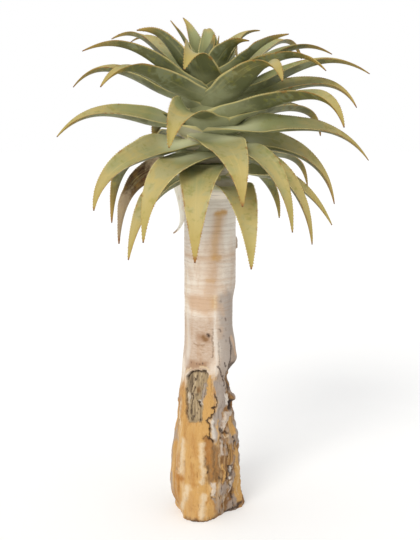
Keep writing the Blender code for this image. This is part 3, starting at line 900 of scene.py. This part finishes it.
class Graph:
    """The nodes of a material or of a world, and the last of them, which all the others feed."""

    def __init__(self, owner, end):
        owner.use_nodes = True
        self.owner = owner
        self.tree = owner.node_tree
        self.end = self.tree.nodes[end]

    def node(self, kind, settings=None, sockets=None, output=0):
        """Adds one node: its settings first, then the values or links of its sockets. Gives one output."""
        made = self.tree.nodes.new("ShaderNode" + kind)
        for name, value in (settings or {}).items():
            setattr(made, name, value)
        for name, value in (sockets or {}).items():
            self.feed(made.inputs[name], value)
        return Value(self, made.outputs[output])

    def feed(self, socket, value):
        """Links a value or sets a constant: a colour gets the fourth number that its socket takes."""
        if isinstance(value, Value):
            self.tree.links.new(value.socket, socket)
        else:
            socket.default_value = (*value, 1.0) if socket.type == "RGBA" else value

    def give(self, name, value):
        self.feed(self.end.inputs[name], value)

    def place(self):
        return self.node("TexCoord", output="Object")

    def mask(self, name):
        """A number that the mesh stores for each vertex."""
        return self.node("Attribute", {"attribute_name": name}, output="Fac")

    def pair(self, name):
        """The two numbers of a UV map."""
        split = self.node("SeparateXYZ", sockets={0: self.node("UVMap", {"uv_map": name})})
        return split, Value(self, split.socket.node.outputs[1])

    def point(self, x, y, z=0.0):
        return self.node("CombineXYZ", sockets={0: x, 1: y, 2: z})

    def stretched(self, point, scale):
        return self.node("VectorMath", {"operation": "MULTIPLY"}, {0: point, 1: scale})

    def noise(self, point, scale, detail=3.0, roughness=0.55, distortion=0.0):
        sockets = {
            "Vector": point,
            "Scale": scale,
            "Detail": detail,
            "Roughness": roughness,
            "Distortion": distortion,
        }
        return self.node("TexNoise", {"normalize": True}, sockets)

    def mix(self, share, first, second):
        settings = {"data_type": "RGBA", "blend_type": "MIX", "clamp_factor": True}
        return self.node("Mix", settings, {0: share, 6: first, 7: second}, output=2)

    def bump(self, height, distance):
        sockets = {"Height": height, "Distance": distance, "Strength": 1.0}
        self.give("Normal", self.node("Bump", sockets=sockets))


def new_look(name, roughness, specular):
    """The graph of a new material that ends in one Principled shader."""
    graph = Graph(bpy.data.materials.new(name), "Principled BSDF")
    graph.give("Roughness", roughness)
    graph.give("Specular IOR Level", specular)
    return graph


def green_leaf(colours):
    """A living leaf: pale at its sheath, partly as painted light, sage to straw above, darker below, partly
    as painted shade, clouded, stained and edged.
    """
    graph = new_look("living leaf", 0.50, 0.35)
    across, along = graph.pair("Blade")
    under, tooth = graph.pair("Face")
    warmth, dryness = graph.mask("warmth"), graph.mask("dryness")
    place = graph.place()
    cloud = graph.noise(place, 8.0)
    patch = graph.noise(place, 24.0, 4.0, distortion=0.8)
    spot = graph.noise(place, 47.0, 3.0, 0.6, 0.5)
    fleck = graph.noise(place, 260.0, 3.0, 0.6)
    strand = graph.noise(graph.point(across * 7.0, along * 1.5, warmth * 40.0), 1.0, 2.0, 0.5)
    below = under.step(0.45, 0.75)
    reach = abs(across)
    # Both faces warm with age, under wax near the stem and stains further out
    age = along * 1.1 + warmth * 0.65 + (cloud - 0.5) * 2.0 + (strand - 0.5) * 0.4
    upper = graph.mix(age.step(0.40, 1.10), colours.sage, colours.straw)
    # The lower face is darker: partly its own colour, partly painted shade
    lower = graph.mix(age.step(0.35, 1.05), colours.shade, colours.moss)
    wax = (cloud + (patch - 0.5) * 0.6).step(0.46, 0.62) * along.step(0.95, 0.55)
    skin = upper.coat(below, lower).coat(wax * 0.40, colours.bloom)
    stain = (spot * 0.5 + patch * 0.5 + reach * 0.05).step(0.56, 0.64) * along.step(0.05, 0.30)
    skin = skin.coat(stain * 0.40, colours.olive)
    skin = skin.coat(strand.step(0.55, 0.75) * 0.15, colours.margin)
    skin = skin.coat(fleck.step(0.60, 0.72) * 0.14, colours.olive)
    # Pale where it clasps the stem, partly the base's own paler skin and partly painted light that lifts the
    # shade among the leaf bases, with the stem's own scar lines on its heel
    clasp = along.step(0.28, 0.08) * (1 - below * 0.55)
    skin = skin.coat(clasp * 0.85, colours.sheath)
    heel = along.step(0.12, 0.05) * below * warmth.step(0.52, 0.60)
    skin = skin.coat(heel * 0.9, colours.cream)
    scar = graph.noise(graph.stretched(place, (1.0, 1.0, 12.0)), 10.0, 2.0)
    skin = skin.coat(heel * scar.step(0.52, 0.60) * 0.45, colours.lilac)
    # Riper towards the tip, with a thin edge that dries in stretches, teeth and a dry point
    ripe = (along + (patch - 0.5) * 0.2).step(0.66, 0.98)
    fade = dryness * 0.5 + below * 0.4 + (1 - warmth) * 0.45
    skin = skin.coat(ripe * 0.75, graph.mix(fade, colours.ripe, colours.gold))
    aged = (along + (patch - 0.5) * 0.7 - warmth * 0.35).step(0.15, 0.65)
    skin = skin.coat(reach.step(0.94, 0.99) * 0.8, graph.mix(aged, colours.margin, colours.gold))
    burn = (spot + dryness * 0.06).step(0.56, 0.62) * reach.step(0.84, 0.97) * along.step(0.25, 0.5)
    skin = skin.coat(burn * 0.75, colours.tooth)
    skin = skin.coat(tooth.step(0.30, 0.8) * 0.9, colours.tooth)
    point = along + dryness * 0.04 + (1 - warmth) * 0.03 + (spot - 0.5) * 0.04
    skin = skin.coat(point.step(0.990, 1.030), colours.tooth)
    skin = skin.coat(along.step(0.990, 1.0), colours.tip)
    graph.give("Base Color", skin)
    graph.give("Roughness", 0.42 + cloud * 0.20)
    graph.bump(strand * 0.3 + patch * 0.4 + fleck * 0.12, 0.0014)
    return graph.owner


def dry_leaf(name, colours, top, bottom, glow=0.0):
    """A dead leaf, wrinkled along its length, with a colour for each face. A glow is painted light that
    shows it bright in the crown's shade.
    """
    graph = new_look(name, 0.8, 0.2)
    # Painted light: a glow in the leaf's own upper colour, so that it shows bright in shade
    graph.give("Emission Color", top)
    graph.give("Emission Strength", glow)
    across, along = graph.pair("Blade")
    under, _ = graph.pair("Face")
    strand = graph.noise(graph.point(across * 18.0, along * 3.0), 1.0, 4.0, 0.65)
    patch = graph.noise(graph.place(), 34.0, 4.0, 0.6)
    drift = patch - 0.5
    skin = graph.mix((under + drift * 0.5).step(0.45, 0.75), top, bottom)
    skin = skin.coat(strand.step(0.50, 0.70) * 0.35, colours.margin)
    skin = skin.coat((strand * 0.5 + patch * 0.5).step(0.52, 0.40) * 0.30, colours.gold)
    skin = skin.coat((along + drift * 0.4).step(0.40, 0.20) * 0.6, top)
    skin = skin.coat((along + drift * 0.5).step(0.55, 0.72) * 0.5, top)
    skin = skin.coat((along + drift * 0.2).step(0.90, 1.0), colours.tooth)
    skin = skin.coat(patch.step(0.60, 0.70) * 0.30, colours.tooth)
    graph.give("Base Color", skin)
    graph.bump(strand + patch * 0.4, 0.003)
    return graph.owner


class Noise:
    """Smooth random hills over a sheet that closes on itself after some columns, the same at each run."""

    def __init__(self, seed, columns):
        self.columns = columns
        self.table = np.random.default_rng(seed).uniform(-1, 1, (columns, NOISE_LINES))

    def level(self, x, y):
        column = np.floor(x).astype(int)
        line = np.floor(y).astype(int)
        fx = smoothstep(0, 1, x - column)
        fy = smoothstep(0, 1, y - line)
        here, after = column % self.columns, (column + 1) % self.columns
        low, high = line % NOISE_LINES, (line + 1) % NOISE_LINES
        near = self.table[here, low] * (1 - fx) + self.table[after, low] * fx
        far = self.table[here, high] * (1 - fx) + self.table[after, high] * fx
        return near * (1 - fy) + far * fy

    def hills(self, x, y, octaves):
        total = np.zeros(np.shape(x))
        for octave in range(octaves):
            total += self.level(x * 2**octave + 7 * octave, y * 2**octave + 3 * octave) / 2**octave
        return total


class Bark:
    """The skin of one stretch of the trunk: where its points lie, how they stand out and what tints them."""

    def __init__(self, height, angle):
        self.height = height
        self.angle = angle
        self.front = (np.degrees(angle) + 90 + 180) % 360 - 180
        self.girth = trunk_radius(height)
        self.relief = np.zeros(len(height))
        self.paints = {name: np.zeros(len(height)) for name in PAINTS}
        self.reliefs = {name: np.zeros(len(height)) for name in RELIEFS}
        stray = STRAY + STRAY * (1 - smoothstep(*STRAY_FADE, height))
        self.x = np.radians(self.front) * self.girth + stray * self.hills(11, 64, 70)
        self.x += FINE_STRAY * self.hills(12, 256, 300, 2)
        self.z = height + stray * self.hills(13, 64, 70)

    def hills(self, seed, columns, rise, octaves=4):
        """Noise with so many hills round the trunk, and so many for each metre of its height."""
        return Noise(seed, columns).hills(self.front / 360 * columns, self.height * rise, octaves)

    def path(self, points):
        """The place of each point of a path on the unrolled bark, in metres."""
        places = [(q, z / PER_METRE) for q, z in points]
        return [(math.radians(q) * float(trunk_radius(z)), z) for q, z in places]

    def away(self, points):
        """Distance from a path, in metres."""
        places = self.path(points)
        nearest = np.full(len(self.x), np.inf)
        for (ax, az), (bx, bz) in zip(places, places[1:]):
            run, climb = bx - ax, bz - az
            share = ((self.x - ax) * run + (self.z - az) * climb) / (run * run + climb * climb)
            share = np.clip(share, 0, 1)
            nearest = np.minimum(nearest, np.hypot(self.x - ax - share * run, self.z - az - share * climb))
        return nearest

    def beside(self, points, wide):
        """1 on a path, and 0 from so many millimetres off it."""
        return 1 - smoothstep(0, wide / PER_METRE, self.away(points))

    def within(self, points, soft):
        """1 inside an outline and 0 outside, with an edge that is so many millimetres soft either way."""
        places = self.path(points)
        odd = np.zeros(len(self.x), dtype=bool)
        for (ax, az), (bx, bz) in zip(places, places[1:] + places[:1]):
            spans = (az > self.z) != (bz > self.z)
            with np.errstate(divide="ignore", invalid="ignore"):
                crossing = ax + (self.z - az) * (bx - ax) / (bz - az)
            odd ^= spans & (self.x < crossing)
        edge = self.away(list(points) + [points[0]])
        return smoothstep(-soft / PER_METRE, soft / PER_METRE, np.where(odd, edge, -edge))

    def paint(self, name, share):
        """Covers what is there with one tint: a kind of wear, painted light or painted shade."""
        share = np.clip(share, 0, 1)
        for other in self.paints.values():
            other *= 1 - share
        if name:
            self.paints[name] += share

    def wear(self, name, strength, depth, share):
        """Paints a row of the tables and gives it its depth, as far as its share goes."""
        self.relief += depth / PER_METRE * share
        self.paint(name, share * (strength / PER_CENT))

    def masks(self):
        """The share of each paint over the ones before it, and the rings."""
        left = np.ones(len(self.height))
        shares = dict(self.reliefs)
        for name in reversed(PAINTS):
            shares[name] = self.paints[name] / np.maximum(left, LEAST_SHARE)
            left = left - self.paints[name]
        return shares


def scars(bark, sizes):
    """The spiral of leaf scars, carried on down the stem: each is a fine wavy line partway round it."""
    fade = smoothstep(SCARS_LOW, SCARS_FULL, bark.height)
    height = bark.height + SCAR_WAVE * bark.hills(53, 16, 20, 2) + SCAR_TREMBLE * bark.hills(54, 64, 60, 2)
    line, swell, warm = (np.zeros(len(height)) for _ in range(3))
    rng = np.random.default_rng(SCAR_SEED)
    for scar in range(1, round((FIRST_LEAF - SCARS_LOW) / sizes.scar_pitch)):
        turn = turn_from(math.radians(SPIRAL_START - SPIRAL_TURN * scar), bark.angle)
        dip = height - FIRST_LEAF + scar * sizes.scar_pitch - SCAR_DROOP * (turn / SCAR_WRAP) ** 2
        near = (np.abs(dip) < SCAR_REACH) & (np.abs(turn) < SCAR_WRAP)
        ends = 1 - smoothstep(SCAR_FULL, 1.0, np.abs(turn[near]) / SCAR_WRAP)
        deep, tone = rng.uniform(*SCAR_DEPTHS), rng.uniform(-1, 1)
        line[near] = np.maximum(line[near], deep * ends * np.exp(-((dip[near] / SCAR_WIDE) ** 2)))
        band = ends * np.exp(-(((dip[near] + LIP_BELOW) / LIP_WIDE) ** 2))
        swell[near] = np.maximum(swell[near], band * max(LEAST_LIP, tone))
        warm[near] = np.maximum(warm[near], band * max(0.0, -tone))
    bark.relief += fade * sizes.scar_depth * (LIP_RISE * swell - line)
    bark.reliefs["ring"] = fade * line
    bark.reliefs["lip"] = fade * swell
    bark.paint("tan", fade * warm * LIP_WARMTH)


def trunk_piece(stretch, sizes):
    """One stretch of the trunk, with its relief in the mesh and its tints in masks."""
    mesh, row, points = drawn_bar(stretch.name, stretch.sides, stretch.rings)
    share = np.interp(row / stretch.rings, *stretch.spacing)
    height = stretch.low + (stretch.high - stretch.low) * share
    angle = np.arctan2(points[:, 1], points[:, 0])
    bark = Bark(height, angle)
    radius = bark.girth + bump_height(angle, height)
    scars(bark, sizes)
    weather(bark)
    bare = smoothstep(FIRST_LEAF + RELIEF_FADE, FIRST_LEAF, height)
    bare *= 1 - smoothstep(HEAD_TOP - TIP_FADE, HEAD_TOP, height)
    write_points(mesh, ring_points(height, angle, radius + bark.relief * bare))
    for mask, values in bark.masks().items():
        write_mask(mesh, mask, values)
    return mesh


def weather(bark):
    """Wear that the whole trunk shares, with painted light on its top and painted shade on its right side,
    then the wound and the marks of its front, some of them painted shade.
    """
    q, relief = bark.front, bark.relief
    brink = bark.height + BRINK_WAVE * bark.hills(61, 12, 8, 3) + BRINK_DIP * smoothstep(*BRINK_LEFT, q)
    foot = 1 - smoothstep(*FOOT_TOP, brink)
    stem = 1 - foot
    edge = q + EDGE_WAVE * bark.hills(62, 24, 14, 3)
    behind = smoothstep(*BACK_RIGHT, edge)
    rough = smoothstep(*FRONT_RIGHT, edge) * (1 - behind)
    smooth = 1 - rough
    worn = smoothstep(*FRONT_LEFT, edge) * (1 - smoothstep(*BACK_LEFT, edge))
    streak = bark.hills(31, 96, 7)
    blotch = bark.hills(37, 40, 18)
    lump = bark.hills(43, 30, 26, 3)
    ridge = 1 - np.abs(bark.hills(41, 48, 9, 3))
    crack = smoothstep(0.90, 0.99, ridge) * smoothstep(-0.2, 0.3, blotch)
    # Plates are lower on the smooth front than on the rough right side
    relief += foot * smooth * (0.0018 * streak + 0.0026 * blotch - 0.0026 * crack)
    relief += foot * rough * (0.0052 * lump + 0.0034 * blotch - 0.0060 * crack)
    relief += stem * 0.0009 * blotch
    warm = np.exp(-(((q - WARM_MIDDLE) / WARM_WIDE) ** 2))
    bark.paint("tan", stem * (0.30 * warm + 0.35 * smoothstep(-0.1, 0.9, blotch)))
    # Grey on the stem's right side: partly weathered bark, partly painted shade on the side away from the
    # light
    bark.paint("grey", stem * 0.40 * smoothstep(5, 70, edge) * (1 - behind))
    # Chalk towards the top: painted light that makes up for the crown's shadow
    bark.paint("chalk", 0.92 * smoothstep(*PAINTED_LIGHT_TOP, bark.height))
    # The foot's plates, their streaks and the cracks between them
    bark.paint("ochre", foot)
    # Brown on the rough right side: partly its own bark, partly painted shade on the side away from the
    # light
    bark.paint("brown", foot * rough)
    bark.paint("amber", foot * (1 - 0.5 * rough) * 0.70 * smoothstep(0.1, 0.9, bark.hills(67, 20, 9)))
    bark.paint("pale", foot * (0.42 - 0.10 * rough) * smoothstep(0.15, 0.85, bark.hills(71, 64, 6, 2)))
    bark.paint("amber", foot * smooth * 0.40 * smoothstep(0.0, 0.8, -streak))
    bark.paint("pale", foot * smooth * 0.22 * smoothstep(0.1, 0.9, streak))
    bark.paint("ochre", foot * rough * 0.45 * smoothstep(0.1, 0.8, streak))
    crust = rough * smoothstep(-0.1, 0.6, lump) + worn * smoothstep(-0.3, 0.4, lump)
    bark.paint("grey", foot * 0.70 * crust)
    bark.paint("dark", foot * crack * (0.30 + 0.50 * rough))
    for name, strength, depth, soft, path in OUTLINES:
        bark.wear(name, strength, depth, bark.within(path, soft))
    # Bare wood, with its grain and its borer holes
    wound = bark.within(WOUND, WOUND_SOFT)
    grain = bark.hills(81, 128, 12, 3)
    pits = bark.hills(83, 110, 70, 2)
    relief += wound * (0.0022 * grain - 0.0025 * smoothstep(0.4, 0.9, pits) - WOUND_DEPTH)
    bark.paint("wood", wound)
    bark.paint("pale", wound * 0.5 * smoothstep(0.3, 0.9, grain))
    bark.paint("dark", wound * (0.45 * smoothstep(0.0, 0.9, -grain) + 0.60 * smoothstep(0.4, 0.8, pits)))
    for name, strength, depth, wide, path in MARKS:
        bark.wear(name, strength, depth, bark.beside(path, wide))


def dress_trunk(sizes, look):
    for stretch in STRETCHES:
        place(trunk_piece(stretch, sizes), look, "bark", "trunk")


def bark_look(colours):
    """Ringed cream bark above and fibrous golden bark below, with each kind of wear, painted light and
    painted shade laid on by its mask.
    """
    graph = new_look("bark", 0.78, 0.25)
    place = graph.place()
    height = graph.node("SeparateXYZ", sockets={0: place}, output=2)
    foot = height.step(0.66, 0.50)
    fibre = graph.noise(graph.stretched(place, (1.0, 1.0, 0.14)), 190.0, 4.0, 0.62)
    thread = graph.noise(graph.stretched(place, (1.0, 1.0, 4.5)), 60.0, 4.0, 0.6)
    cloud = graph.noise(place, 16.0, 4.0)
    grit = graph.noise(place, 240.0, 4.0, 0.65)
    grain = fibre * foot + thread * (1 - foot)
    shades = {name: graph.mask(name) for name in PAINTS + RELIEFS}
    skin = graph.mix(cloud.step(0.35, 0.70) * 0.30, colours.cream, colours.tan)
    skin = skin.coat(thread.step(0.50, 0.75) * 0.25, colours.lilac)
    skin = skin.coat(shades["lip"] * 0.60, colours.chalk)
    for name in PAINTS:
        shade = shades[name]
        rough = shade + (1 - shade) * shade * ((grain - 0.5) * 2 + (grit - 0.5))
        skin = skin.coat(rough, getattr(colours, PAINT_TINTS.get(name, name)))
    skin = skin.coat(shades["ring"] * (0.08 + thread * 0.36), colours.clay)
    skin = skin.coat(fibre.step(0.52, 0.72) * foot * 0.22, colours.brown)
    skin = skin.coat(fibre.step(0.45, 0.28) * foot * 0.14, colours.pale)
    skin = skin.coat(height.step(1.290, 1.310) * 0.9, colours.sage)
    graph.give("Base Color", skin)
    graph.give("Roughness", 0.68 + cloud * 0.2)
    graph.bump(fibre * foot * 1.1 + grit * 0.45 + thread * (1 - foot) * 0.25, 0.0022)
    return graph.owner


def floor_look(settings):
    graph = new_look("studio floor", 0.9, 0.0)
    dust = graph.noise(graph.place(), 3.0, 2.0)
    shade = tuple(part * DUST_SHADE for part in settings.floor)
    graph.give("Base Color", graph.mix(dust, settings.floor, shade))
    graph.give("Emission Color", settings.floor)
    graph.give("Emission Strength", settings.glow)
    return graph.owner


def add_floor(settings):
    bm = bmesh.new()
    bmesh.ops.create_grid(bm, x_segments=1, y_segments=1, size=FLOOR_HALF)
    mesh = bpy.data.meshes.new("studio_floor")
    bm.to_mesh(mesh)
    bm.free()
    mesh.materials.append(floor_look(settings))
    add_object("studio_floor", mesh)


def add_camera(settings):
    lens = bpy.data.cameras.new("camera")
    lens.lens = settings.focal
    lens.sensor_width = SENSOR
    camera = add_object("camera", lens)
    camera.location = CAMERA_PLACE
    camera.rotation_euler = (math.radians(90 - CAMERA_PITCH), 0.0, 0.0)
    bpy.context.scene.camera = camera


def add_lights(settings):
    """A soft sun, and even light from a sky that the camera sees as white."""
    lamp = bpy.data.lights.new("key", "SUN")
    lamp.energy = settings.sun
    lamp.angle = math.radians(SUN_SOFTNESS)
    lamp.color = SUN_COLOUR
    key = add_object("key", lamp)
    key.rotation_euler = Vector(SUN_FROM).to_track_quat("Z", "Y").to_euler()
    world = bpy.data.worlds.new("studio")
    bpy.context.scene.world = world
    graph = Graph(world, "World Output")
    graph.tree.nodes.remove(graph.tree.nodes["Background"])
    seen = graph.node("Background", sockets={"Color": SEEN_COLOUR, "Strength": 1.0})
    cast = graph.node("Background", sockets={"Color": SKY_COLOUR, "Strength": settings.sky})
    in_view = graph.node("LightPath", output="Is Camera Ray")
    graph.give("Surface", graph.node("MixShader", sockets={0: in_view, 1: cast, 2: seen}))
    bpy.context.scene.view_settings.view_transform = "Standard"


class ALOE_OT_leaves(bpy.types.Operator):
    """Grow the toothed leaves in place of the plain ones"""

    bl_idname = "aloe.leaves"
    bl_label = "Grow leaves"

    def execute(self, context):
        sizes, colours = context.scene.aloe_sizes, context.scene.aloe_colours
        dried = dry_leaf("dried leaf", colours, colours.pale, colours.dried)
        # The bleached leaf glows with painted light, to show bright in the crown's shade
        bleached = dry_leaf("bleached leaf", colours, colours.bleached, colours.bleached, BLEACHED_PAINTED_GLOW)
        grow_leaves(sizes, green_leaf(colours), dried, bleached)
        return {"FINISHED"}


class ALOE_OT_trunk(bpy.types.Operator):
    """Give the trunk its scars, cracks and plates of bark"""

    bl_idname = "aloe.trunk"
    bl_label = "Dress trunk"

    def execute(self, context):
        dress_trunk(context.scene.aloe_sizes, bark_look(context.scene.aloe_colours))
        return {"FINISHED"}


class ALOE_OT_studio(bpy.types.Operator):
    """Set up the floor, the camera and the light"""

    bl_idname = "aloe.studio"
    bl_label = "Set up studio"

    def execute(self, context):
        settings = context.scene.aloe_studio
        add_camera(settings)
        add_floor(settings)
        add_lights(settings)
        return {"FINISHED"}


class ALOE_PT_sidebar(bpy.types.Panel):
    """Sizes, colours and the steps that use them"""

    bl_label = "Tree aloe"
    bl_idname = "ALOE_PT_sidebar"
    bl_space_type = "VIEW_3D"
    bl_region_type = "UI"
    bl_category = "Tree aloe"

    def draw(self, context):
        for group in (context.scene.aloe_sizes, context.scene.aloe_colours, context.scene.aloe_studio):
            box = self.layout.box()
            for name in group.__annotations__:
                box.prop(group, name)
        for operator in OPERATORS:
            self.layout.operator(operator.bl_idname)


OPERATORS = (ALOE_OT_studio, ALOE_OT_trunk, ALOE_OT_leaves)
GROUPS = {"aloe_sizes": AloeSizes, "aloe_colours": AloeColours, "aloe_studio": StudioSettings}


def register():
    for group in GROUPS.values():
        bpy.utils.register_class(group)
    for name, group in GROUPS.items():
        setattr(bpy.types.Scene, name, PointerProperty(type=group))
    for operator in OPERATORS:
        bpy.utils.register_class(operator)
    bpy.utils.register_class(ALOE_PT_sidebar)


def unregister():
    bpy.utils.unregister_class(ALOE_PT_sidebar)
    for operator in reversed(OPERATORS):
        bpy.utils.unregister_class(operator)
    for name in GROUPS:
        delattr(bpy.types.Scene, name)
    for group in GROUPS.values():
        bpy.utils.unregister_class(group)


def main():
    register()
    for operator in OPERATORS:
        getattr(bpy.ops.aloe, operator.bl_idname.partition(".")[2])()


if __name__ == "__main__":
    main()
